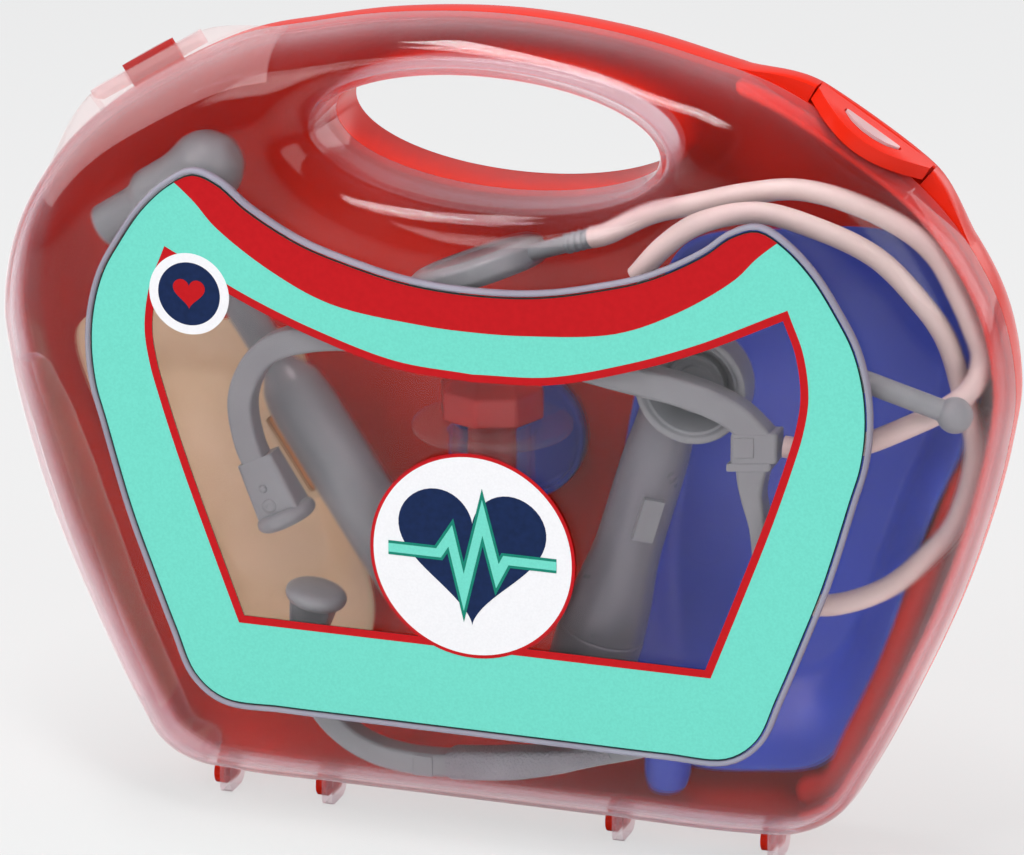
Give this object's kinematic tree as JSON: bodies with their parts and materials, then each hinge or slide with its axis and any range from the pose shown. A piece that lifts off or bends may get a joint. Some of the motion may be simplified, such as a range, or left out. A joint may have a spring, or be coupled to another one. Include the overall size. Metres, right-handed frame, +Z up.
{
  "type": "toy doctor case",
  "caption": "Toy doctor case: clear and red half shells on a bottom hinge, flexing latches, a handle hole, a label sheet and toy instruments inside.",
  "frame": {"origin": "on the floor under the middle of the hinge ears, at the parting plane", "axes": "+X to the right as seen from the front, +Y towards the rear half, +Z up"},
  "size_m": [0.299, 0.0624, 0.2412],
  "materials": {
    "clear_plastic": "clear, slightly frosty, glossy",
    "red_plastic": "translucent orange-red, glossy",
    "grey_plastic": "opaque blue-grey, satin gloss",
    "blue_plastic": "opaque deep blue, glossy",
    "cream_plastic": "opaque cream, satin",
    "apricot_plastic": "opaque apricot, satin",
    "tube_vinyl": "beige-grey vinyl, satin",
    "label_card": "printed sheet, satin"
  },
  "bodies": {
    "rear_half": {"shell_rear": "red_plastic", "blue_tray": "blue_plastic", "splint": "cream_plastic", "splint_clip": "apricot_plastic", "round_dish": "blue_plastic", "blue_peg": "blue_plastic", "hammer_grip": "grey_plastic", "hammer_head": "grey_plastic", "otoscope_handle": "grey_plastic", "otoscope_head": "grey_plastic", "otoscope_lens": "grey_plastic", "syringe_barrel": "clear_plastic", "headset_junction": "grey_plastic", "headset_upper_arm": "grey_plastic", "headset_lower_arm": "grey_plastic", "ear_bud_upper": "grey_plastic", "ear_bud_lower": "grey_plastic", "chest_piece": "grey_plastic", "chest_stem": "grey_plastic", "stethoscope_tube": "tube_vinyl", "second_tube": "tube_vinyl", "ball_rod": "grey_plastic"},
    "front_half": {"shell_front": "clear_plastic", "label_sheet": "label_card"},
    "right_tongue": {"latch_tongue_right": "red_plastic"},
    "left_tongue": {"latch_tongue_left": "clear_plastic"},
    "plunger": {"syringe_plunger": "red_plastic"},
    "switch": {"otoscope_switch": "grey_plastic"}
  },
  "joints": [
    {"name": "case_hinge", "type": "hinge", "parent": "rear_half", "child": "front_half", "pos_m": [0, 0, 0.0038], "axis": [1, 0, 0], "range_deg": [0, 180]},
    {"name": "right_latch", "type": "hinge", "parent": "rear_half", "child": "right_tongue", "pos_m": [0.1068, 0.0043, 0.21738], "axis": [-0.8487, 0, 0.5288], "range_deg": [0, 15], "stiffness_Nm_per_rad": 0.5},
    {"name": "left_latch", "type": "hinge", "parent": "front_half", "child": "left_tongue", "pos_m": [-0.1068, -0.0043, 0.21738], "axis": [0.8487, 0, 0.5288], "range_deg": [0, 15], "stiffness_Nm_per_rad": 0.5},
    {"name": "plunger_slide", "type": "slide", "parent": "rear_half", "child": "plunger", "axis": [0, 0, 1], "range_m": [0, 0.015]},
    {"name": "switch_slide", "type": "slide", "parent": "rear_half", "child": "switch", "axis": [-0.2813, 0, -0.9596], "range_m": [0, 0.004]}
  ]
}
